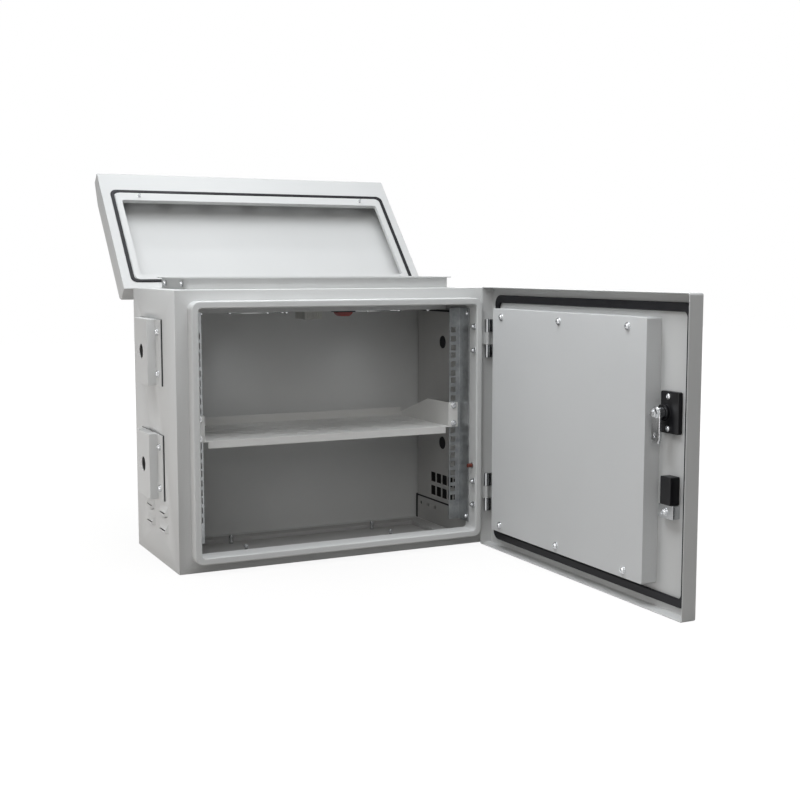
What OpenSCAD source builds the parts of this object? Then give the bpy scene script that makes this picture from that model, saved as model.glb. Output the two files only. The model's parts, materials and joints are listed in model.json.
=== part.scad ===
/* [Body] */
// Outer width of the body
body_w = 556; // [540:1:600]
// Outer depth of the body behind the front face
body_d = 254; // [240:1:320]
// Outer height of the body
body_h = 450; // [440:1:520]
// Sheet thickness of the outer skin
sheet = 1.5; // [1.2:0.1:2]
// Inset of the front collar from the sides
collar_in = 20; // [19:0.5:24]
// Inset of the front collar from top and bottom
collar_top = 17; // [15:0.5:22]
// Height of the front collar over the front face
collar_out = 24; // [20:1:26]
// Width of the collar's front band
collar_band = 11; // [9:0.5:11]
// Depth of the collar's inner return behind the front face
jamb_back = 12; // [10:1:16]

/* [Rack] */
// Width of the rail flange
flange_w = 22; // [18:0.5:24]
// Distance of the hole column from the rail's outer face
hole_edge = 14.45; // [12:0.05:15]
// Height of one rack unit
rack_unit = 44.45; // [44.45]
// Side of the square rail holes
rack_hole = 9.5; // [9:0.1:9.8]
// Setback of the rail flange behind the front face
rail_back = 34; // [28:1:60]
// Rail thickness
rail_t = 2; // [1.5:0.1:2]
// Gap between the rail ends and the opening
rail_gap = 9; // [7:0.5:20]

/* [Shelf] */
// Depth of the shelf plate
shelf_d = 196; // [150:1:200]
// Shelf sheet thickness
shelf_t = 1.5; // [1:0.1:2]
// Drop of the front lip
shelf_lip = 10.5; // [8:0.5:16]

/* [Door] */
// Depth of the door skirt
door_depth = 23.5; // [22.5:0.5:25]
// Gap between the door rim and the front face
door_gap = 7.5; // [6.5:0.5:8.5]
// Hinge axis inset from the body side
hinge_in = 6; // [5.5:0.5:8]
// Hinge axis in front of the front face
hinge_out = 16; // [15:0.5:18]
// Opening angle of the door at rest
door_open = 90; // [60:1:110]
// Depth of the door's inner cover
cover_t = 26; // [14:1:28]

/* [Roof] */
// Side overhang of the lid
lid_over = 13; // [8:1:20]
// Front overhang of the lid
lid_front = 24; // [10:1:30]
// Height of the lid
lid_h = 38; // [32:1:50]
// Opening angle of the lid at rest
lid_open = 132; // [90:1:135]
// Height of the roof upstand
upstand_h = 19; // [12:1:22]
// Fan size
fan_w = 119; // [92:1:120]
// Fan thickness
fan_t = 25; // [20:1:26]

/* [Sides] */
// Diameter of the bracket holes
bracket_hole = 24; // [18:0.5:26]
// Projection of the side brackets
bracket_out = 16; // [12:1:22]
// Height of the side brackets
bracket_h = 108; // [90:1:120]

/* [Hidden] */

paint = [0.80, 0.81, 0.80];
zinc = [0.62, 0.66, 0.69];
chrome = [0.82, 0.83, 0.85];
black = [0.06, 0.06, 0.065];
plastic = [0.66, 0.67, 0.68];
red = [0.70, 0.10, 0.06];
$fn = 48;
e = 0.01;
hw = body_w / 2;
fy = -body_d / 2;
by = body_d / 2;
gap = 0.3;
cx = hw - collar_in;
ox = cx - collar_band;
cz0 = collar_top;
cz1 = body_h - collar_top;
oz0 = cz0 + collar_band;
oz1 = cz1 - collar_band;
cfy = fy - collar_out;
jy = fy + jamb_back;
ry = fy + rail_back;
rail_len = oz1 - oz0 - 2 * rail_gap;
rail_mid = (oz0 + oz1) / 2 + 2;
units = floor((rail_len - 40) / rack_unit);
rack_spacing = 2 * (ox - hole_edge);
rack_clear = 2 * (ox - flange_w);
holes_z0 = rail_mid - units * rack_unit / 2;
shelf_z = holes_z0 + floor(units / 2) * rack_unit;
lv_y = [-45, 34];
lv_z = [91, 63];
br_y = 15;
br_z = [body_h - 102, 160];
br_w = 78;
fl_w = 28;
tray_z = body_h - 39;
up_x = hw - 39;
fan_y = by - 110;
tray_front = 17.5;
tray_back = 13.5;
up_y0 = fan_y - fan_w / 2 - tray_front;
up_y1 = fan_y + fan_w / 2 + tray_back;
up_z = body_h + upstand_h;
lip = 6;
gl_x = hw - 78;
gl_y0 = fy + 97;
gl_y1 = by - 92;
ha = [hw - hinge_in, fy - hinge_out];
hinge_z = [body_h - 87, 93];
hk = 22;
hr = 4;
door_y1 = fy - door_gap;
door_y0 = door_y1 - door_depth;
door_in = door_y0 + sheet;
door_z0 = 0.3;
door_z1 = body_h + 1.8;
la = [by + 7, body_h - 1];
lid_z = body_h + 2.5;
lid_x = hw + lid_over;
lid_y0 = fy - lid_front;
lid_y1 = by + 4;
lock_x = -ox + 35;
lock_z = body_h / 2 + 59;
handle_z0 = lock_z - 148;
handle_z1 = lock_z + 34;
cam_y = 19;
hub_r = 12;
pad = 1.5;
br_t = 2;
liner_t = 8;
fan_x = round(0.46 * up_x);
pin_r = 2;
lid_pin_r = 1.6;
fit = 0.05;
gasket_t = 5;
spindle_r = 8;
cam_l = cx - 3 + lock_x;
cover_x0 = -ox + 55;
cover_x1 = ox - 15.5;
cover_z0 = oz0 + 7;
cover_z1 = oz1 - 6;
ring_x = hw - 20;
ring_y0 = up_y0 - 24;
ring_y1 = up_y1 + 12;
sw_x = 42.5;
sw_y = up_y0 + 5;
th_x = -17;
th_y = up_y0 + 4;
liner_z0 = oz0 + 20;
vent_z = [90.5, 65];
vent_y = 41.5;
vent_p = 22.4;
vent_w = 18.5;
vent_h = 18;
skirt_y = [-94, -72, 43, 71, 100];
skirt_z = 33;
skirt_r = 3;
cheek_y = 80;
screw_z = bracket_h / 2 - 20;
liner_z1 = body_h - 46;
seal = 3;
skin = 1.2;
earth_z = 141;
earth_y = fy - 10;
lid_hinge_x = hw - 88;
lid_screw_x = ring_x - 35;
cap_l = 9.5;

// Box given by its corners
module bx(x0, x1, y0, y1, z0, z1) {
  translate([x0, y0, z0]) cube([x1 - x0, y1 - y0, z1 - z0]);
}

// Rectangle with round corners in two dimensions
module rr(w, h, r) {
  union() {
    square([w - 2 * r, h], center = true);
    square([w, h - 2 * r], center = true);
    for (x = [-1, 1], y = [-1, 1]) translate([x * (w / 2 - r), y * (h / 2 - r)]) circle(r);
  }
}

// Upright panel with round corners, seen from the front
module xz(x0, x1, z0, z1, r, y0, y1) {
  translate([(x0 + x1) / 2, y1, (z0 + z1) / 2]) rotate([90, 0, 0]) {
    linear_extrude(y1 - y0) rr(x1 - x0, z1 - z0, r);
  }
}

// Flat panel with round corners, seen from above
module xy(x0, x1, y0, y1, r, z0, z1) {
  translate([(x0 + x1) / 2, (y0 + y1) / 2, z0]) linear_extrude(z1 - z0) rr(x1 - x0, y1 - y0, r);
}

// Round bar along one axis
module bar_y(x, z, r, y0, y1) {
  translate([x, y0, z]) rotate([-90, 0, 0]) cylinder(r = r, h = y1 - y0);
}
module bar_x(y, z, r, x0, x1) {
  translate([x0, y, z]) rotate([0, 90, 0]) cylinder(r = r, h = x1 - x0);
}

// Door parts are drawn closed and swung to the rest angle
module swing() {
  translate([ha[0], ha[1], 0]) rotate([0, 0, door_open]) translate([-ha[0], -ha[1], 0]) children();
}

// Lid parts are drawn closed and tilted to the rest angle
module tilt() {
  translate([0, la[0], la[1]]) rotate([-lid_open, 0, 0]) translate([0, -la[0], -la[1]]) children();
}

// Louvre hood on the left wall
module louvre(y, z) {
  hull() {
    bx(-hw - e, -hw + e, y - 23, y + 23, z - 8, z + 8);
    bx(-hw - 4.8, -hw - 4.3, y - 15, y + 15, z - 8, z - 5.5);
  }
}

// Welded sheet box with the raised front collar
module shell() color(paint) {
  difference() {
    union() {
      difference() {
        union() {
          bx(-hw, hw, fy, by, 0, body_h);
          xz(-cx, cx, cz0, cz1, 14, cfy, fy + 1);
          for (s = [0, 1]) mirror([s, 0, 0]) for (y = lv_y, z = lv_z) louvre(y, z);
        }
        bx(-hw + sheet, hw - sheet, fy + sheet, by - sheet, sheet, body_h - sheet);
        xz(-cx + sheet, cx - sheet, cz0 + sheet, cz1 - sheet, 14 - sheet, cfy + sheet, fy + sheet + e);
      }
      xz(-ox - sheet, ox + sheet, oz0 - sheet, oz1 + sheet, 6 + sheet, cfy + e, jy);
    }
    xz(-ox, ox, oz0, oz1, 6, cfy - 1, jy + 1);
    bx(-ox - 4, -ox + 4, door_in + cam_y - 2, door_in + cam_y + 6, lock_z - 40, lock_z + 14);
    xy(-up_x + sheet, up_x - sheet, up_y0 + sheet, up_y1 - sheet, 5, body_h - 4, body_h + 2);
    xy(-gl_x, gl_x, gl_y0, gl_y1, 5, -1, 4);
    for (x = [-lid_screw_x, lid_screw_x]) translate([x, ring_y0 - 8, body_h - 4]) cylinder(r = 6, h = 6);
    for (s = [-1, 1], z = br_z) bar_x(br_y, z, bracket_hole / 2, s * hw - 4, s * hw + 4);
    for (s = [0, 1]) mirror([s, 0, 0]) for (y = lv_y, z = lv_z) {
      bx(-hw - 4.4, -hw + 4, y - 15, y + 15, z - 10, z - 3.5);
    }
  }
}

// Rim round the roof opening with an outward lip
module roof_upstand() color(paint) {
  difference() {
    union() {
      xy(-up_x, up_x, up_y0, up_y1, 6, body_h, up_z);
      xy(-up_x - lip, up_x + lip, up_y0 - lip, up_y1 + lip, 8, up_z - sheet, up_z);
    }
    xy(-up_x + sheet, up_x - sheet, up_y0 + sheet, up_y1 - sheet, 5, body_h - 1, up_z + 1);
  }
}

// Hat-shaped side bracket on the left wall, closed at both ends
module bracket(z) {
  x1 = -hw - pad;
  difference() {
    union() {
      bx(x1 - bracket_out, x1, br_y - br_w / 2, br_y + br_w / 2, z - bracket_h / 2, z + bracket_h / 2);
      bx(x1 - br_t, x1, br_y - br_w / 2 - fl_w, br_y + br_w / 2 + fl_w, z - bracket_h / 2, z + bracket_h / 2);
    }
    bx(x1 - bracket_out + br_t, x1 + 1, br_y - br_w / 2 + br_t, br_y + br_w / 2 - br_t,
      z - bracket_h / 2 + br_t, z + bracket_h / 2 - br_t);
    bar_x(br_y, z, bracket_hole / 2, x1 - bracket_out - 2, x1 - 2);
  }
}
module bracket_left_upper() color(paint) bracket(br_z[0]);
module bracket_left_lower() color(paint) bracket(br_z[1]);
module bracket_right_upper() color(paint) mirror([1, 0, 0]) bracket(br_z[0]);
module bracket_right_lower() color(paint) mirror([1, 0, 0]) bracket(br_z[1]);

// Rubber pads between bracket flanges and wall
module bracket_pads() color(black) {
  for (s = [0, 1], z = br_z, k = [-1, 1]) mirror([s, 0, 0]) {
    y = br_y + k * (br_w + fl_w) / 2;
    bx(-hw - pad, -hw, y - fl_w / 2 - 1, y + fl_w / 2 + 1, z - bracket_h / 2, z + bracket_h / 2);
  }
}

// Domed screw head on the left wall side
module head_x(x, y, z, r, h) {
  translate([x, y, z]) rotate([0, -90, 0]) difference() {
    union() {
      cylinder(r = r, h = h * 0.55);
      cylinder(r1 = r, r2 = r * 0.6, h = h);
    }
    translate([0, 0, h * 0.45]) cylinder(r = r * 0.42, h = h, $fn = 6);
  }
}
module head_y(x, y, z, r, h) {
  translate([x, y, z]) rotate([0, 0, 90]) head_x(0, 0, 0, r, h);
}
module head_down(x, y, z, r, h) {
  translate([x, y, z]) rotate([0, -90, 0]) head_x(0, 0, 0, r, h);
}

module bracket_screws() color(chrome) {
  for (s = [0, 1], z = br_z, k = [-1, 1], d = [-screw_z, screw_z]) mirror([s, 0, 0]) {
    y = br_y + k * (br_w / 2 + fl_w / 2);
    bar_x(y, z + d, 6.2, -hw - pad - br_t - 1, -hw - pad - br_t);
    head_x(-hw - pad - br_t - 0.9, y, z + d, 5, 3.6);
  }
}

// Inner side liner, a shallow pan set on the wall
module side_liner() {
  x0 = -hw + sheet;
  difference() {
    bx(x0, x0 + liner_t, fy + 20, by - 12, liner_z0, liner_z1);
    bx(x0 - 1, x0 + liner_t - 1.2, fy + 21.2, by - 13.2, liner_z0 + 1.2, liner_z1 - 1.2);
    for (z = br_z) bar_x(br_y, z, bracket_hole / 2, x0, x0 + liner_t + 2);
    for (k = [0:5], z = vent_z) {
      y = vent_y - k * vent_p;
      bx(x0, x0 + liner_t + 2, y, y + vent_w, z - vent_h / 2, z + vent_h / 2);
    }
  }
}
module side_liner_left() color(paint) side_liner();
module side_liner_right() color(paint) mirror([1, 0, 0]) side_liner();

// Black seal strips above and below the liners
module liner_seals() color(black) {
  for (s = [0, 1]) mirror([s, 0, 0]) {
    bx(-hw + sheet, -hw + sheet + liner_t + 0.6, fy + 20, by - 12, liner_z1, liner_z1 + seal);
    bx(-hw + sheet, -hw + sheet + liner_t + 0.6, fy + 20, by - 12, liner_z0 - seal, liner_z0);
    bx(-hw + sheet, -hw + sheet + liner_t + 0.6, by - 12, by - 6, sheet, liner_z0);
  }
}

// Plain panel below each liner
module skirt_panels() color(paint) {
  for (s = [0, 1]) mirror([s, 0, 0]) difference() {
    bx(-hw + sheet, -hw + sheet + liner_t, fy + 20, by - 12, sheet, liner_z0 - seal);
    bx(-hw + sheet - 1, -hw + sheet + liner_t - 1.2, fy + 21.2, by - 13.2, sheet - 1, liner_z0 - seal - 1.2);
    for (y = skirt_y) bar_x(y, skirt_z, skirt_r, -hw + sheet, -hw + sheet + liner_t + 1);
  }
}
module filter_mats() color(black) {
  for (s = [0, 1]) mirror([s, 0, 0]) {
    bx(-hw + sheet + 1, -hw + sheet + liner_t - 1.2, vent_y - 5 * vent_p - 5.5, vent_y + vent_w + 4,
      vent_z[1] - vent_h / 2 - 4, vent_z[0] + vent_h / 2 + 4.5);
  }
}

// Rack rail with its flange facing the front
module rail() {
  zb = rail_mid - rail_len / 2;
  difference() {
    union() {
      bx(rack_clear / 2, ox, ry, ry + rail_t, zb, zb + rail_len);
      bx(ox - rail_t, ox, fy + 1, ry + rail_t, zb, zb + rail_len);
    }
    for (u = [0:units - 1], d = [6.35, 22.225, 38.1]) {
      translate([rack_spacing / 2, ry, holes_z0 + u * rack_unit + d]) {
        cube([rack_hole, 4 * rail_t, rack_hole], center = true);
      }
    }
  }
}
module rail_right() color(zinc) rail();
module rail_left() color(zinc) mirror([1, 0, 0]) rail();
module rail_screws() color(chrome) {
  for (s = [0, 1], k = [-1, 1]) mirror([s, 0, 0]) {
    head_x(ox - rail_t, fy + 7, rail_mid + k * (rail_len / 2 - 9), 4, 3);
  }
}

// One unit shelf with ears, gussets, front lip and rear lip
module shelf() color(paint) {
  sx = rack_clear / 2 - 1;
  slot_p = (2 * sx - 48) / 4;
  y0 = ry - shelf_t;
  y1 = y0 + shelf_d;
  difference() {
    union() {
      translate([0, 0, shelf_z]) linear_extrude(shelf_t) difference() {
        translate([-sx, y0]) square([2 * sx, shelf_d]);
        for (r = [0:6], k = [-1.5:1:1.5]) translate([(k + (r % 2) / 2 - 0.25) * slot_p, y0 + 28 + r * 23]) {
          square([40, 5], center = true);
          for (d = [-20, 20]) translate([d, 0]) circle(2.5);
        }
      }
      bx(-sx + 7, sx - 7, y0, y0 + shelf_t, shelf_z - shelf_lip, shelf_z + e);
      bx(-sx, sx, y1 - shelf_t, y1, shelf_z, shelf_z + 16);
      for (s = [0, 1]) mirror([s, 0, 0]) difference() {
        union() {
          bx(sx - shelf_t, sx, y0, y1, shelf_z, shelf_z + rack_unit - 1);
          bx(sx - shelf_t, sx + 17, y0, y0 + shelf_t, shelf_z, shelf_z + rack_unit - 1);
        }
        translate([sx - 4, y0 + cheek_y, shelf_z + rack_unit - 1]) rotate([-17.5, 0, 0]) {
          cube([8, shelf_d, 1.4 * rack_unit]);
        }
        for (d = [6.35, 38.1]) bar_y(rack_spacing / 2, shelf_z + d, 3.4, y0 - 1, y0 + 4);
      }
    }
  }
}
module shelf_screws() color(chrome) {
  for (s = [-1, 1], d = [6.35, 38.1]) {
    translate([s * rack_spacing / 2, ry - shelf_t, shelf_z + d]) rotate([0, 0, 90]) {
      rotate([0, -90, 0]) cylinder(r = 5.6, h = 1);
      head_x(-0.9, 0, 0, 4.4, 3.2);
    }
  }
}

// Raised frame and plate of the cable entry in the floor
module gland_frame() color(paint) {
  difference() {
    xy(-gl_x - 49, gl_x + 49, gl_y0 - 44, gl_y1 + 44, 6, sheet, sheet + 8);
    xy(-gl_x - 25, gl_x + 25, gl_y0 - 20, gl_y1 + 20, 5, 0, sheet + 12);
    difference() {
      xy(-gl_x - 47.5, gl_x + 47.5, gl_y0 - 42.5, gl_y1 + 42.5, 5, 0, sheet + 6.5);
      xy(-gl_x - 26.5, gl_x + 26.5, gl_y0 - 21.5, gl_y1 + 21.5, 6, -1, sheet + 9);
    }
  }
}
module gland_plate() color(paint) {
  xy(-gl_x - 22, gl_x + 22, gl_y0 - 17, gl_y1 + 17, 5, sheet, sheet + 2);
  xy(-gl_x + gap, gl_x - gap, gl_y0 + gap, gl_y1 - gap, 5 - gap, 0, sheet + 1);
}
module gland_studs() color(chrome) {
  for (x = [-0.68 * gl_x, 0.68 * gl_x], y = [gl_y0 - 7, gl_y1 + 7]) translate([x, y, sheet + 2]) {
    cylinder(r = 4.2, h = 4, $fn = 6);
    cylinder(r = 2.5, h = 15);
    translate([0, 0, 10]) cylinder(r = 4.2, h = 3.6, $fn = 6);
  }
}

// Fan tray hung in the roof opening
module fan_tray() color(paint) {
  tx = up_x - sheet - gap;
  y0 = up_y0 + sheet + gap;
  y1 = up_y1 - sheet - gap;
  difference() {
    xy(-tx, tx, y0, y1, 4, tray_z, body_h + upstand_h - 3);
    xy(-tx + 1.2, tx - 1.2, y0 + 1.2, y1 - 1.2, 3, tray_z + 1.2, body_h + 40);
    for (s = [-1, 1]) translate([s * fan_x, fan_y, tray_z - 2]) cylinder(r = fan_w / 2 - 3, h = 6);
    bx(sw_x - 15, sw_x + 15, sw_y, sw_y + 20, tray_z - 1, tray_z + 3);
  }
}
module fan_frame(s) {
  translate([s * fan_x, fan_y, tray_z + 1.2]) {
    difference() {
      translate([0, 0, fan_t / 2]) cube([fan_w, fan_w, fan_t], center = true);
      translate([0, 0, -1]) cylinder(r = fan_w / 2 - 2.5, h = fan_t + 2);
      for (x = [-0.441, 0.441], y = [-0.441, 0.441]) {
        translate([x * fan_w, y * fan_w, -1]) cylinder(r = 2.2, h = fan_t + 2);
      }
    }
    cylinder(r = 19, h = 4);
    for (a = [20:90:300]) rotate([0, 0, a]) translate([18, -2.5, 0]) cube([fan_w / 2 - 20, 5, 3.5]);
  }
}
module fan_frame_left() color(black) fan_frame(-1);
module fan_frame_right() color(black) fan_frame(1);
module rotor(s) {
  translate([s * fan_x, fan_y, tray_z + 1.2]) {
    translate([0, 0, 4.6]) cylinder(r = 19, h = fan_t - 6.6);
    for (a = [0:6]) rotate([0, 0, a * 360 / 7]) translate([18.4, 0, 14]) rotate([52, 0, 0]) {
      translate([0, -10, -0.9]) cube([fan_w / 2 - 24.6, 20, 1.8]);
    }
  }
}
module rotor_left() color(black) rotor(-1);
module rotor_right() color(black) rotor(1);
module fan_guards() color(chrome) {
  for (s = [-1, 1]) translate([s * fan_x, fan_y, tray_z - 1.5]) {
    for (r = [14, 26, 38, 50]) rotate_extrude() translate([r, 0]) circle(1, $fn = 16);
    for (a = [45, 135]) rotate([0, 0, a]) {
      translate([-66, 0, 0]) rotate([0, 90, 0]) cylinder(r = 1.2, h = 132, $fn = 16);
      for (d = [-66, 66]) translate([d, 0, -1]) cylinder(r = 4, h = 2.5);
    }
  }
}
module tray_screws() color(chrome) {
  for (s = [0, 1], y = [up_y0 + 20, up_y1 - 31]) mirror([s, 0, 0]) head_x(-up_x, y, body_h + 9, 5, 4.5);
  for (k = [-0.89, -0.41, -0.27, 0.36, 0.85]) head_down(k * up_x, up_y0 + 8, tray_z, 3.5, 2.6);
}

// Thermostat under the front of the tray
module thermostat() color(plastic) {
  difference() {
    bx(th_x - 16, th_x + 16, th_y, th_y + 44, tray_z - 13, tray_z);
    for (x = [th_x - 12:4:th_x + 12]) bx(x, x + 1.6, th_y - 1, th_y + 1.4, tray_z - 14, tray_z - 2);
    translate([th_x, th_y + 24, tray_z - 14]) cylinder(r = 9.4, h = 3);
  }
}
module thermostat_dial() color(paint) {
  translate([th_x, th_y + 24, tray_z - 14.5]) {
    difference() {
      cylinder(r = 9, h = 3.1);
      translate([-1, -8, -1]) cube([2, 16, 2]);
    }
  }
}
module switch_bezel() color(black) {
  difference() {
    bx(sw_x - 18, sw_x + 18, sw_y - 2, sw_y + 22, tray_z - 2, tray_z);
    bx(sw_x - 15, sw_x + 15, sw_y, sw_y + 20, tray_z - 3, tray_z + 1);
  }
}
module rocker() color(red) {
  intersection() {
    translate([sw_x, sw_y + 0.4, tray_z + 6]) rotate([-90, 0, 0]) cylinder(r = 16.5, h = 19.2);
    bx(sw_x - 13.5, sw_x + 13.5, sw_y, sw_y + 20, tray_z - 9, tray_z - 1.4);
  }
  bar_y(sw_x, tray_z - 3, 1.5, sw_y + 0.1, sw_y + 19.9);
}

// Earth stud on the right jamb
module earth_stud() color(chrome) {
  bar_x(earth_y, earth_z, 5.5, ox - 1.2, ox);
  bar_x(earth_y, earth_z, 2.5, ox - 6, ox - 1);
}
module earth_cap() color(red) {
  difference() {
    bar_x(earth_y, earth_z, 3.4, ox - cap_l, ox - 1.5);
    bar_x(earth_y, earth_z, 2.55, ox - 6.3, ox);
  }
}

// Hinge leaf on the collar side with the middle knuckle
module hinge_leaves() color(paint) {
  for (z = hinge_z) difference() {
    union() {
      bx(cx, cx + 1.2, fy - 22, fy - 6, z - 33, z + 33);
      bx(cx, ha[0], ha[1] - 1.5, ha[1] + 1.5, z - 10.6, z + 10.6);
      translate([ha[0], ha[1], z - 10.6]) cylinder(r = hr, h = 21.2);
    }
    translate([ha[0], ha[1], z - 20]) cylinder(r = pin_r + fit, h = 40);
  }
}
module hinge_bolts() color(chrome) {
  for (h = hinge_z, d = [-20.7, 20.7]) translate([ox, fy - 16, h + d]) rotate([0, -90, 0]) {
    cylinder(r = 5.6, h = 1);
    cylinder(r = 4.8, h = 4.6, $fn = 6);
    cylinder(r = 2.5, h = 7);
  }
}
module door_knuckles() color(chrome) swing() {
  for (z = hinge_z, k = [0, 1]) translate([0, 0, k == 0 ? z - 33 : z + 11]) difference() {
    union() {
      translate([ha[0], ha[1], 0]) cylinder(r = hr, h = hk);
      bx(ha[0] - 3, ha[0] + 3, door_in, ha[1], 0, hk);
    }
    translate([ha[0], ha[1], -1]) cylinder(r = pin_r + fit, h = hk + 2);
  }
}
module hinge_pins() color(chrome) {
  for (z = hinge_z) translate([ha[0], ha[1], z - 33]) cylinder(r = pin_r, h = 67);
}

// Door pan
module door() color(paint) swing() {
  difference() {
    xz(-hw, hw, door_z0, door_z1, 4, door_y0, door_y1);
    xz(-hw + sheet, hw - sheet, door_z0 + sheet, door_z1 - sheet, 3, door_in, door_y1 + 1);
    bar_y(lock_x, lock_z, spindle_r + 0.5, door_y0 - 1, door_in + 1);
  }
}
module door_gasket() color(black) swing() {
  difference() {
    xz(-cx - 5, cx + 3, cz0 - 5, cz1 + 5, 15, door_in, door_in + gasket_t);
    xz(-cx + 6, cx - 9, cz0 + 8, cz1 - 8, 8, door_in - 1, door_in + gasket_t + 1);
  }
}
module door_cover() color(paint) swing() {
  difference() {
    xz(cover_x0, cover_x1, cover_z0, cover_z1, 3, door_in, door_in + cover_t);
    xz(cover_x0 + skin, cover_x1 - skin, cover_z0 + skin, cover_z1 - skin, 2, door_in - 1,
      door_in + cover_t - skin);
  }
}
module cover_screws() color(chrome) swing() {
  mid = (cover_x0 + cover_x1) / 2;
  for (x = [cover_x1 - 28, mid + 10, cover_x0 + 44], z = [cover_z0 + 12, cover_z1 - 14]) {
    translate([x, door_in + cover_t, z]) rotate([0, 0, -90]) {
      rotate([0, -90, 0]) cylinder(r = 6, h = 0.8);
      head_x(-0.7, 0, 0, 4.8, 3.8);
    }
  }
}

// Lock parts inside the door
module lock_plate() color(black) swing() {
  difference() {
    union() {
      xz(-ox + 5, -ox + 45, lock_z - 29, lock_z + 30, 3, door_in, door_in + 7);
      bar_y(lock_x, lock_z, hub_r, door_in + 6, door_in + 12);
    }
    bar_y(lock_x, lock_z, spindle_r + 0.5, door_in - 1, door_in + 15);
  }
}
module lock_plate_screws() color(chrome) swing() {
  for (d = [-22, 23]) translate([lock_x - 8, door_in + 7, lock_z + d]) rotate([0, 0, -90]) {
    head_x(0, 0, 0, 4.4, 3);
  }
}
module lock_block() color(black) swing() {
  xz(-ox + 7, -ox + 30, lock_z - 128, lock_z - 88, 2, door_in, door_in + 17);
}
module lock_clip() color(chrome) swing() {
  difference() {
    xz(-ox + 6, -ox + 39, lock_z - 148, lock_z - 128.5, 2, door_in, door_in + 12);
    bx(-ox + 8, -ox + 37, door_in - 1, door_in + 10, lock_z - 150, lock_z - 120);
  }
  translate([-ox + 25, door_in + 11.9, lock_z - 139]) rotate([0, 0, -90]) head_x(0, 0, 0, 5.5, 4);
}
module escutcheon() color(black) swing() {
  difference() {
    xz(lock_x - 17, lock_x + 17, handle_z0, handle_z1, 10, door_y0 - 4, door_y0);
    bar_y(lock_x, lock_z, spindle_r + 0.5, door_y0 - 6, door_y0 + 1);
    bar_y(lock_x, handle_z0 + 26, 8, door_y0 - 6, door_y0 - 2.5);
    bx(lock_x - 1, lock_x + 1, door_y0 - 6, door_y0 - 1, handle_z0 + 21, handle_z0 + 31);
  }
}

// Lock shaft with its outer hub, cam and cam bolt
module spindle() color(chrome) swing() {
  difference() {
    union() {
      bar_y(lock_x, lock_z, spindle_r, door_y0 - 4.4, door_in + cam_y);
      bx(lock_x - 4, lock_x + 8, door_y0 - 15.2, door_y0 - 4.4, lock_z - 6, lock_z + 6);
    }
    translate([lock_x + 2, door_y0 - 10.2, lock_z - 20]) cylinder(r = pin_r + fit, h = 40);
  }
}
module cam() color(chrome) swing() {
  y0 = door_in + cam_y;
  difference() {
    union() {
      bx(lock_x - 9, lock_x + 9, y0, y0 + 4, lock_z - cam_l + 4, lock_z);
      bar_y(lock_x, lock_z, 9, y0, y0 + 4);
      bx(lock_x - 7, lock_x + 7, y0, y0 + 4, lock_z - cam_l, lock_z - cam_l + 5);
    }
    bar_y(lock_x, lock_z - cam_l + 12, 3, y0 - 2, y0 + 6);
  }
}
module cam_bolt() color(chrome) swing() {
  translate([lock_x, door_in + cam_y + 4, lock_z]) rotate([-90, 0, 0]) {
    cylinder(r = 8, h = 1.2);
    cylinder(r = 7, h = 5.5, $fn = 6);
    cylinder(r1 = 6, r2 = 4, h = 8);
  }
}
module lever() color(black) swing() {
  difference() {
    union() {
      translate([lock_x + 2, door_y0 - 10.2, lock_z - 13]) cylinder(r = 5.2, h = 26);
      xz(lock_x + 2, lock_x + 134, lock_z - 13, lock_z + 13, 0.5, door_y0 - 15.4, door_y0 - 5);
    }
    bx(lock_x - 10, lock_x + 18, door_y0 - 20, door_y0, lock_z - 6.4, lock_z + 6.4);
    translate([lock_x + 2, door_y0 - 10.2, lock_z - 20]) cylinder(r = pin_r + fit, h = 40);
    bar_y(lock_x + 128, lock_z, 9, door_y0 - 20, door_y0);
  }
}
module lever_pin() color(chrome) swing() {
  translate([lock_x + 2, door_y0 - 10.2, lock_z - 12.6]) cylinder(r = pin_r, h = 25.2);
}

// Lid with a sloped front edge and an inward flange
module lid() color(paint) tilt() {
  difference() {
    translate([-lid_x, 0, lid_z]) rotate([90, 0, 90]) linear_extrude(2 * lid_x) {
      polygon([[lid_y0, 0], [lid_y0, lid_h - 13], [lid_y0 + 46, lid_h],
        [lid_y1 - 10, lid_h], [lid_y1, lid_h - 8], [lid_y1, 0]]);
    }
    translate([-lid_x + sheet, 0, lid_z]) rotate([90, 0, 90]) linear_extrude(2 * lid_x - 2 * sheet) {
      polygon([[lid_y0 + sheet, sheet], [lid_y0 + sheet, lid_h - 14.1], [lid_y0 + 46.2, lid_h - sheet],
        [lid_y1 - 10.6, lid_h - sheet], [lid_y1 - sheet, lid_h - 8.8], [lid_y1 - sheet, sheet]]);
    }
    xy(-ring_x, ring_x, ring_y0, ring_y1, 6, lid_z - 1, lid_z + 2);
    for (k = [-2.5:1:2.5]) bx(k * 76 - 25, k * 76 + 25, lid_y0 - 1, lid_y0 + 3, lid_z + 8, lid_z + 14);
  }
}
module lid_ring() color(paint) tilt() {
  difference() {
    union() {
      xy(-ring_x - 9, ring_x + 9, ring_y0 - 17, ring_y1 + 9, 9, lid_z - sheet, lid_z);
      xy(-ring_x + 0.2, ring_x - 0.2, ring_y0 + 0.2, ring_y1 - 0.2, 5.8, lid_z - sheet, lid_z + 6);
    }
    xy(-ring_x + 1.7, ring_x - 1.7, ring_y0 + 1.7, ring_y1 - 1.7, 4.3, lid_z - 4, lid_z + 14);
  }
}
module lid_gasket() color(black) tilt() {
  difference() {
    xy(-ring_x - 17, ring_x + 17, ring_y0 - 24, ring_y1 + 15, 12, lid_z - 2, lid_z);
    xy(-ring_x - 10.5, ring_x + 10.5, ring_y0 - 17.5, ring_y1 + 9.5, 8, lid_z - 4, lid_z + 2);
  }
}
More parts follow.
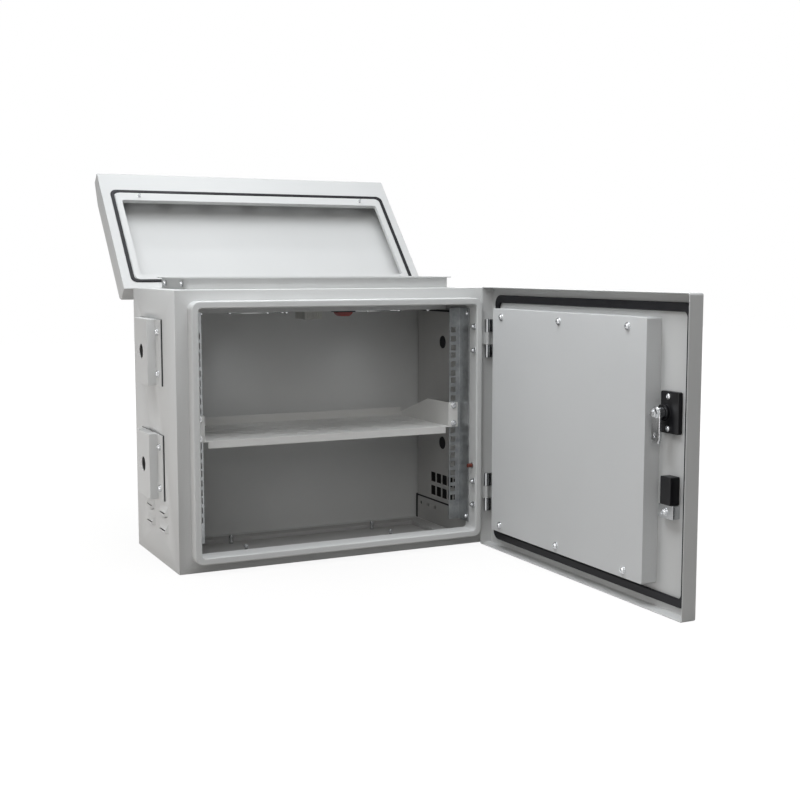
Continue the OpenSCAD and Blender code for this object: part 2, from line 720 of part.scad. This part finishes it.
module lid_screws() color(chrome) tilt() {
  for (x = [-lid_screw_x, lid_screw_x]) translate([x, ring_y0 - 8, lid_z - sheet]) rotate([180, 0, 0]) {
    cylinder(r = 3.2, h = 1);
    cylinder(r = 2, h = 7);
  }
}

// Lid hinges behind the body
module lid_hinge_leaves() color(paint) {
  for (x = [-lid_hinge_x, lid_hinge_x]) translate([x, 0, 0]) difference() {
    union() {
      bx(-30, 30, by, by + 1.5, la[1] - 28, la[1] - 4);
      for (s = [-1, 1]) {
        translate([s * 20.7 - 9.3, 0, 0]) bar_x(la[0], la[1], 3.2, 0, 18.6);
        bx(s * 20.7 - 9.3, s * 20.7 + 9.3, by, la[0], la[1] - 5, la[1] - 1.8);
      }
    }
    bar_x(la[0], la[1], lid_pin_r + fit, -40, 40);
  }
}
module lid_knuckles() color(paint) tilt() {
  for (x = [-lid_hinge_x, lid_hinge_x]) translate([x, 0, 0]) difference() {
    union() {
      bx(-30, 30, lid_y1, lid_y1 + 1.5, lid_z + 2, lid_z + 24);
      bx(-11, 11, lid_y1, la[0], la[1], lid_z + 6);
      bar_x(la[0], la[1], 3.2, -11, 11);
    }
    bar_x(la[0], la[1], lid_pin_r + fit, -40, 40);
  }
}
module lid_pins() color(chrome) {
  for (x = [-lid_hinge_x, lid_hinge_x]) bar_x(la[0], la[1], lid_pin_r, x - 30, x + 30);
}

shell();
roof_upstand();
bracket_left_upper();
bracket_left_lower();
bracket_right_upper();
bracket_right_lower();
bracket_pads();
bracket_screws();
side_liner_left();
side_liner_right();
liner_seals();
skirt_panels();
filter_mats();
rail_left();
rail_right();
rail_screws();
shelf();
shelf_screws();
gland_frame();
gland_plate();
gland_studs();
fan_tray();
fan_frame_left();
fan_frame_right();
rotor_left();
rotor_right();
fan_guards();
tray_screws();
thermostat();
thermostat_dial();
switch_bezel();
rocker();
earth_stud();
earth_cap();
hinge_leaves();
hinge_bolts();
lid_hinge_leaves();
door();
door_gasket();
door_cover();
cover_screws();
door_knuckles();
hinge_pins();
escutcheon();
lock_plate();
lock_plate_screws();
lock_block();
lock_clip();
spindle();
cam();
cam_bolt();
lever();
lever_pin();
lid();
lid_ring();
lid_gasket();
lid_screws();
lid_knuckles();
lid_pins();
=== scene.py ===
import json
import math
import bpy
import bmesh
from mathutils import Matrix, Vector


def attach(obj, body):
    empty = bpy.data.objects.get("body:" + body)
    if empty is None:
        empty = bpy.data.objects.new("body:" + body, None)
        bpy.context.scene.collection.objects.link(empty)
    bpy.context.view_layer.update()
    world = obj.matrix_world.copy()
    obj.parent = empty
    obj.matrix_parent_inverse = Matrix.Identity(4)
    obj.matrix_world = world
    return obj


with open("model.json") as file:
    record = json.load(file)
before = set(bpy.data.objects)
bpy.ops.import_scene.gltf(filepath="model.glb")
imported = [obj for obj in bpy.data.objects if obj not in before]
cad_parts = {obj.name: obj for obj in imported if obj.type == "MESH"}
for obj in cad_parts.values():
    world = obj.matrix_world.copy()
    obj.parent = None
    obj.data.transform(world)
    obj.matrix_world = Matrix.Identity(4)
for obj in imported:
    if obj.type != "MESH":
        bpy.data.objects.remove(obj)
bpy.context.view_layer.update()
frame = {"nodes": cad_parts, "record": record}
nodes = frame["nodes"]
print("frame loaded:", len(nodes), "nodes")


class Socket:
    def __init__(self, tree, out):
        self.tree = tree
        self.out = out

    def math(self, kind, other, swap=False):
        n = self.tree.nodes.new("ShaderNodeMath")
        n.operation = kind
        pair = (other, self) if swap else (self, other)
        for i, v in enumerate(pair):
            if isinstance(v, Socket):
                self.tree.links.new(v.out, n.inputs[i])
            else:
                n.inputs[i].default_value = v
        return Socket(self.tree, n.outputs[0])

    def __add__(self, o):
        return self.math("ADD", o)

    def __radd__(self, o):
        return self.math("ADD", o, True)

    def __sub__(self, o):
        return self.math("SUBTRACT", o)

    def __rsub__(self, o):
        return self.math("SUBTRACT", o, True)

    def __mul__(self, o):
        return self.math("MULTIPLY", o)

    def __rmul__(self, o):
        return self.math("MULTIPLY", o, True)

    def into(self, socket):
        self.tree.links.new(self.out, socket)

    def node(self, kind, slot=0, result=0, props=None, values=None):
        n = self.tree.nodes.new(kind)
        for k, v in (props or {}).items():
            setattr(n, k, v)
        for k, v in (values or {}).items():
            if isinstance(v, Socket):
                self.tree.links.new(v.out, n.inputs[k])
            else:
                n.inputs[k].default_value = v
        if slot is not None:
            self.tree.links.new(self.out, n.inputs[slot])
        return Socket(self.tree, n.outputs[result])


grain = {
    "broadDetail": 3.0, "fineDetail": 4.0, "broadShare": 0.7, "fineShare": 0.3, "darkAt": 0.3, "lightAt": 0.7,
}
bumpDepth = 0.0002  # metres


def material(spec):
    m = bpy.data.materials.new(spec["name"])
    m.use_nodes = True
    tree = m.node_tree
    shader = tree.nodes["Principled BSDF"]
    place = Socket(tree, tree.nodes.new("ShaderNodeTexCoord").outputs["Object"])
    broadValues = {"Scale": spec["broad"], "Detail": grain["broadDetail"]}
    fineValues = {"Scale": spec["fine"], "Detail": grain["fineDetail"]}
    broad = place.node("ShaderNodeTexNoise", slot="Vector", values=broadValues)
    fine = place.node("ShaderNodeTexNoise", slot="Vector", values=fineValues)
    blend = broad * grain["broadShare"] + fine * grain["fineShare"]
    shade = blend.node("ShaderNodeValToRGB", slot="Fac")
    dark, light = shade.out.node.color_ramp.elements
    dark.position = grain["darkAt"]
    dark.color = (*spec["dark"], 1.0)
    light.position = grain["lightAt"]
    light.color = (*spec["light"], 1.0)
    shade.into(shader.inputs["Base Color"])
    low, high = spec["rough"]
    (broad * (high - low) + low).into(shader.inputs["Roughness"])
    shader.inputs["Metallic"].default_value = spec.get("metal", 0.0)
    shader.inputs["Specular IOR Level"].default_value = spec.get("spec", 0.5)
    if "bump" in spec:
        bumpValues = {"Strength": spec["bump"], "Distance": bumpDepth}
        fine.node("ShaderNodeBump", slot="Height", values=bumpValues).into(shader.inputs["Normal"])
    return m


specs = {  # broad and fine are noise scales, rough is the range of roughness
    "paint": {
        "name": "paint", "dark": (0.6, 0.606, 0.602), "light": (0.65, 0.654, 0.648),
        "broad": 4.0, "fine": 950.0, "rough": (0.48, 0.58), "bump": 0.16, "spec": 0.26,
    },
    # the liner coat is the body paint made darker: painted shade on the side liners, skirt panels and gland
    # parts
    "liner": {
        "name": "linerPaintShaded", "dark": (0.44, 0.438, 0.432), "light": (0.49, 0.487, 0.478),
        "broad": 5.0, "fine": 950.0, "rough": (0.5, 0.62), "bump": 0.16, "spec": 0.24,
    },
    "shelf": {
        "name": "shelfPaint", "dark": (0.66, 0.656, 0.64), "light": (0.71, 0.706, 0.69),
        "broad": 5.0, "fine": 950.0, "rough": (0.42, 0.52), "bump": 0.12, "spec": 0.26,
    },
    # the cover coat is the body paint made lighter and bluer: painted light, the cool light that falls on the
    # door cover
    "cover": {
        "name": "coverPaintLit", "dark": (0.635, 0.645, 0.648), "light": (0.685, 0.694, 0.696),
        "broad": 4.0, "fine": 950.0, "rough": (0.46, 0.56), "bump": 0.16, "spec": 0.26,
    },
    # the zinc is set darker than bare zinc: painted shade, the dark inside of the cabinet that it reflects
    "zinc": {
        "name": "zinc", "dark": (0.235, 0.245, 0.25), "light": (0.38, 0.39, 0.395),
        "broad": 60.0, "fine": 260.0, "rough": (0.3, 0.46), "metal": 1.0, "bump": 0.03,
    },
    "bright": {
        "name": "bright", "dark": (0.5, 0.51, 0.52), "light": (0.66, 0.67, 0.68),
        "broad": 30.0, "fine": 400.0, "rough": (0.14, 0.26), "metal": 1.0,
    },
    "rubber": {
        "name": "rubber", "dark": (0.005, 0.005, 0.007), "light": (0.014, 0.014, 0.017),
        "broad": 40.0, "fine": 1200.0, "rough": (0.38, 0.52), "bump": 0.1, "spec": 0.2,
    },
    "filter": {
        "name": "filter", "dark": (0.004, 0.004, 0.004), "light": (0.016, 0.016, 0.016),
        "broad": 80.0, "fine": 700.0, "rough": (0.85, 1.0), "bump": 0.8, "spec": 0.1,
    },
    "black_plastic": {
        "name": "blackPlastic", "dark": (0.004, 0.004, 0.005), "light": (0.01, 0.01, 0.012),
        "broad": 20.0, "fine": 900.0, "rough": (0.3, 0.44), "bump": 0.08, "spec": 0.22,
    },
    "grey_plastic": {
        "name": "greyPlastic", "dark": (0.4, 0.4, 0.38), "light": (0.5, 0.5, 0.47),
        "broad": 20.0, "fine": 800.0, "rough": (0.45, 0.6), "bump": 0.08,
    },
    "red_plastic": {
        "name": "redPlastic", "dark": (0.2, 0.022, 0.018), "light": (0.3, 0.035, 0.026),
        "broad": 25.0, "fine": 500.0, "rough": (0.25, 0.36),
    },
    "cap": {
        "name": "capPlastic", "dark": (0.11, 0.026, 0.018), "light": (0.17, 0.04, 0.028),
        "broad": 25.0, "fine": 500.0, "rough": (0.32, 0.45), "spec": 0.3,
    },
}
mats = {k: material(v) for k, v in specs.items()}
print("materials made:", len(mats))

slots = {s["node"]: s["material_slot"] for s in frame["record"]["subparts"]}
coats = {  # nodes that get another coat than their slot's: the liner coat is painted shade and the cover coat painted light; the shelf coat is a lighter, warmer paint and the cap coat the earth cap's own red-brown
    "side_liner_left": "liner", "side_liner_right": "liner", "skirt_panels": "liner", "gland_frame": "liner",
    "gland_plate": "liner", "shelf": "shelf", "door_cover": "cover", "earth_cap": "cap",
}
edges = {  # width of the rounded edge by node, in metres
    "plain": 0.0003, "door_gasket": 0.0022, "lid_gasket": 0.0008, "lever": 0.0006, "escutcheon": 0.0012,
    "lock_block": 0.0015, "lock_plate": 0.0008, "lock_plate_screws": 0.0002, "cam": 0.0006,
    "thermostat": 0.0004, "shell": 0.0004, "door": 0.0006, "lid": 0.0006, "door_cover": 0.0005,
    "rocker": 0.0002, "bracket_left_upper": 0.0008, "bracket_left_lower": 0.0008,
    "bracket_right_upper": 0.0008, "bracket_right_lower": 0.0008, "fan_frame_left": 0.0004,
    "fan_frame_right": 0.0004,
}
shortFaced = ("spindle", "rocker", "side_liner_right", "fan_guards")  # clamped, so that no corner runs out
weldReach = {"plain": 1e-6, "shell": 2e-5, "lever": 2e-4}  # metres
flatWithin = 0.4  # degrees
sharpFrom = {"plain": 32.0, "shell": 12.0}  # degrees
steps = {"plain": 2, "door_gasket": 5, "lid_gasket": 4, "lock_block": 3, "lever": 3}
collar = {  # a loop is half width, underside, top and corner radius
    "front": -0.151, "slack": 6e-5, "round": 0.002, "steps": 8,
    "loops": ((0.258, 0.017, 0.433, 0.014), (0.247, 0.028, 0.422, 0.006)),
}


def offLoop(x, z, loop):
    # distance of a point from a rectangle with round corners
    half, low, high, r = loop
    dx = abs(x) - (half - r)
    dz = abs(z - (low + high) / 2) - ((high - low) / 2 - r)
    return abs(math.hypot(max(dx, 0.0), max(dz, 0.0)) + min(max(dx, dz), 0.0) - r)


def markCollar(mesh):
    # the two front edges of the collar are folded round, so they get a weight of their own
    weight = mesh.attributes.new("bevel_weight_edge", "FLOAT", "EDGE")
    for e in mesh.edges:
        a, b = (mesh.vertices[i].co for i in e.vertices)
        if max(abs(a.y - collar["front"]), abs(b.y - collar["front"])) > collar["slack"]:
            continue
        for loop in collar["loops"]:
            if max(offLoop(q.x, q.z, loop) for q in (a, b, (a + b) / 2)) < collar["slack"]:
                weight.data[e.index].value = 1.0


def dress(name, obj):
    mesh = obj.data
    mesh.materials.clear()
    mesh.materials.append(mats[coats.get(name, slots[name])])
    if "custom_normal" in mesh.attributes:
        mesh.attributes.remove(mesh.attributes["custom_normal"])
    for p in mesh.polygons:
        p.use_smooth = True
    weld = obj.modifiers.new("weld", "WELD")
    weld.merge_threshold = weldReach.get(name, weldReach["plain"])
    flat = obj.modifiers.new("flat", "DECIMATE")
    flat.decimate_type = "DISSOLVE"
    flat.angle_limit = math.radians(flatWithin)
    if name == "shell":
        markCollar(mesh)
        fold = obj.modifiers.new("fold", "BEVEL")
        fold.width = collar["round"]
        fold.segments = collar["steps"]
        fold.limit_method = "WEIGHT"
        fold.harden_normals = True
        fold.use_clamp_overlap = False
    edge = obj.modifiers.new("edge", "BEVEL")
    edge.width = edges.get(name, edges["plain"])
    edge.segments = steps.get(name, steps["plain"])
    edge.limit_method = "ANGLE"
    edge.angle_limit = math.radians(sharpFrom.get(name, sharpFrom["plain"]))
    edge.harden_normals = True
    edge.use_clamp_overlap = name in shortFaced


for name, obj in nodes.items():
    dress(name, obj)
print("nodes dressed")


screwThread = {"r": 0.00285, "cut": 0.0005, "pitch": 0.0009, "steps": 18, "weld": 1e-6}


def thread(name, start, axis, length):
    # a saw-tooth line beside the axis, spun into a threaded sleeve
    bm = bmesh.new()
    side = axis.orthogonal().normalized()
    half = screwThread["pitch"] / 2
    last = None
    for k in range(2 * int(length / screwThread["pitch"]) + 1):
        r = screwThread["r"] if k % 2 else screwThread["r"] - screwThread["cut"]
        v = bm.verts.new(start + axis * (k * half) + side * r)
        if last:
            bm.edges.new((last, v))
        last = v
    geom = list(bm.verts) + list(bm.edges)
    turn = {"angle": math.tau, "steps": screwThread["steps"], "use_merge": True}
    bmesh.ops.spin(bm, geom=geom, cent=start, axis=axis, dvec=(0, 0, 0), **turn)
    bmesh.ops.remove_doubles(bm, verts=list(bm.verts), dist=screwThread["weld"])
    bmesh.ops.recalc_face_normals(bm, faces=list(bm.faces))
    mesh = bpy.data.meshes.new(name)
    bm.to_mesh(mesh)
    bm.free()
    for p in mesh.polygons:
        p.use_smooth = True
    mesh.materials.append(mats["bright"])
    o = bpy.data.objects.new(name, mesh)
    bpy.context.scene.collection.objects.link(o)
    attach(o, "body")


gland = {"x": (-0.136, 0.136), "y": (-0.037, 0.042), "z": 0.0071, "length": 0.0109}
for i, x in enumerate(gland["x"]):
    for j, y in enumerate(gland["y"]):
        foot = Vector((x, y, gland["z"]))
        thread("glandThread%d%d" % (i, j), foot, Vector((0, 0, 1)), gland["length"])
hinge = {"x": 0.24235, "y": -0.143, "z": (0.3837, 0.3423, 0.1137, 0.0723), "length": 0.0023}
for i, z in enumerate(hinge["z"]):
    foot = Vector((hinge["x"], hinge["y"], z))
    thread("hingeThread%d" % i, foot, Vector((-1, 0, 0)), hinge["length"])
print("threads cut")

plug = {
    "r": 0.0117, "depth": 0.0022, "face": 0.2683, "y": 0.015, "z": (0.348, 0.160),
    "edge": 0.0005, "steps": 2, "sides": 40, "rimFrom": 1.0,
}


def holeShadePlug(name, side, z):
    # a rubber plug in the liner behind a bracket hole, a guess for the black discs in the photo; its black
    # also stands in for the shade inside the hole, painted shade
    bm = bmesh.new()
    centre = (side * (plug["face"] + plug["depth"] / 2), plug["y"], z)
    place = Matrix.Translation(centre) @ Matrix.Rotation(math.pi / 2, 4, "Y")
    disc = {"segments": plug["sides"], "radius1": plug["r"], "radius2": plug["r"], "depth": plug["depth"]}
    bmesh.ops.create_cone(bm, cap_ends=True, matrix=place, **disc)
    rims = [e for e in bm.edges if e.calc_face_angle(0.0) > plug["rimFrom"]]
    edge = {"offset": plug["edge"], "segments": plug["steps"]}
    bmesh.ops.bevel(bm, geom=rims, affect="EDGES", profile=0.5, material=-1, **edge)
    bmesh.ops.recalc_face_normals(bm, faces=list(bm.faces))
    mesh = bpy.data.meshes.new(name)
    bm.to_mesh(mesh)
    bm.free()
    mesh.materials.append(mats["rubber"])
    o = bpy.data.objects.new(name, mesh)
    bpy.context.scene.collection.objects.link(o)
    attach(o, "body")


# black plugs in the four bracket holes: partly a plug, partly painted shade for the dark holes
for side, word in ((-1, "Left"), (1, "Right")):
    for level, z in zip(("Upper", "Lower"), plug["z"]):
        holeShadePlug("holeShadePlug" + word + level, side, z)
print("plugs set")


def area(spec):
    data = bpy.data.lights.new(spec["name"], "AREA")
    data.shape = "RECTANGLE"
    data.size, data.size_y = spec["size"]
    data.energy = spec["power"]
    data.color = spec["color"]
    o = bpy.data.objects.new(spec["name"], data)
    bpy.context.scene.collection.objects.link(o)
    o.location = spec["at"]
    aim = Vector(spec["to"]) - Vector(spec["at"])
    o.rotation_euler = aim.to_track_quat("-Z", "Y").to_euler()
    o.visible_camera = False


lights = [
    {
        "name": "topBox", "size": (2.6, 1.1), "power": 42.0, "color": (0.95, 0.975, 1.0),
        "at": (-0.35, -0.5, 2.4), "to": (0.0, -0.1, 0.3),
    },
    {
        "name": "frontFill", "size": (2.0, 1.2), "power": 17.0, "color": (1.0, 0.99, 0.98),
        "at": (-1.55, -2.8, 1.5), "to": (0.0, -0.2, 0.3),
    },
    {
        "name": "leftFill", "size": (0.8, 0.14), "power": 2.2, "color": (1.0, 0.97, 0.95),
        "at": (-1.0, 0.15, 0.08), "to": (-0.28, 0.0, 0.05),
    },
    {
        "name": "doorKick", "size": (0.5, 0.4), "power": 3.6, "color": (0.96, 0.98, 1.0),
        "at": (-0.25, -0.5, 1.15), "to": (0.29, -0.42, 0.35),
    },
    {
        "name": "ventGlow", "size": (0.2, 0.06), "power": 1.6, "color": (0.96, 0.98, 1.0),
        "at": (0.0, 0.507, 1.304), "to": (0.0, 0.335, 0.651),
    },
    {
        "name": "rearFill", "size": (1.6, 1.2), "power": 16.0, "color": (1.0, 0.99, 0.97),
        "at": (2.0, 1.7, 1.4), "to": (0.0, 0.0, 0.25),
    },
]
for spec in lights:
    area(spec)

world = bpy.data.worlds.new("studio")
bpy.context.scene.world = world
world.use_nodes = True
wt = world.node_tree
back = wt.nodes["Background"]
path = wt.nodes.new("ShaderNodeLightPath")
rays = [Socket(wt, path.outputs[k]) for k in ("Is Camera Ray", "Is Glossy Ray", "Is Transmission Ray")]
ambient = 0.1  # what the world lends to diffuse light; seen directly it is white
back.inputs["Color"].default_value = (1.0, 1.0, 1.0, 1.0)
(sum(rays) * (1 - ambient) + ambient).into(back.inputs["Strength"])

stage = {  # near and rise set how much of the floor's own glow shows, by distance from the object
    "floor": (0.315, 0.305, 0.294), "rough": 0.9, "near": 0.78, "rise": 0.12, "glow": 1.14,
    "reach": 6.0, "drop": -0.0005,
}


def floor():
    mesh = bpy.data.meshes.new("floor")
    s, z = stage["reach"], stage["drop"]
    mesh.from_pydata([(-s, -s, z), (s, -s, z), (s, s, z), (-s, s, z)], [], [(0, 1, 2, 3)])
    o = bpy.data.objects.new("floor", mesh)
    bpy.context.scene.collection.objects.link(o)
    m = bpy.data.materials.new("floorPale")
    m.use_nodes = True
    tree = m.node_tree
    shader = tree.nodes["Principled BSDF"]
    shader.inputs["Base Color"].default_value = (*stage["floor"], 1.0)
    shader.inputs["Roughness"].default_value = stage["rough"]
    glow = tree.nodes.new("ShaderNodeEmission")
    mix = tree.nodes.new("ShaderNodeMixShader")
    path = tree.nodes.new("ShaderNodeLightPath")
    eye = Socket(tree, path.outputs["Is Camera Ray"]) + Socket(tree, path.outputs["Is Glossy Ray"])
    glow.inputs["Strength"].default_value = stage["glow"]
    place = Socket(tree, tree.nodes.new("ShaderNodeTexCoord").outputs["Object"])
    far = place.node("ShaderNodeVectorMath", props={"operation": "LENGTH"}, result=1)
    (eye * (far * stage["rise"] + stage["near"])).math("MINIMUM", 1.0).into(mix.inputs["Fac"])
    tree.links.new(shader.outputs[0], mix.inputs[1])
    tree.links.new(glow.outputs[0], mix.inputs[2])
    tree.links.new(mix.outputs[0], tree.nodes["Material Output"].inputs["Surface"])
    mesh.materials.append(m)
    return o


floor()
print("stage set")

view = {"lens": 56.1, "sensor": 36.0, "at": (-0.817, -2.0185, 0.4862), "down": 6.096, "turn": -26.138}
camData = bpy.data.cameras.new("camera")
camData.sensor_width = view["sensor"]
camData.lens = view["lens"]
camera = bpy.data.objects.new("camera", camData)
bpy.context.scene.collection.objects.link(camera)
camera.location = view["at"]
camera.rotation_euler = (math.radians(90 - view["down"]), 0.0, math.radians(view["turn"]))
bpy.context.scene.camera = camera
bpy.context.scene.view_settings.view_transform = "Standard"
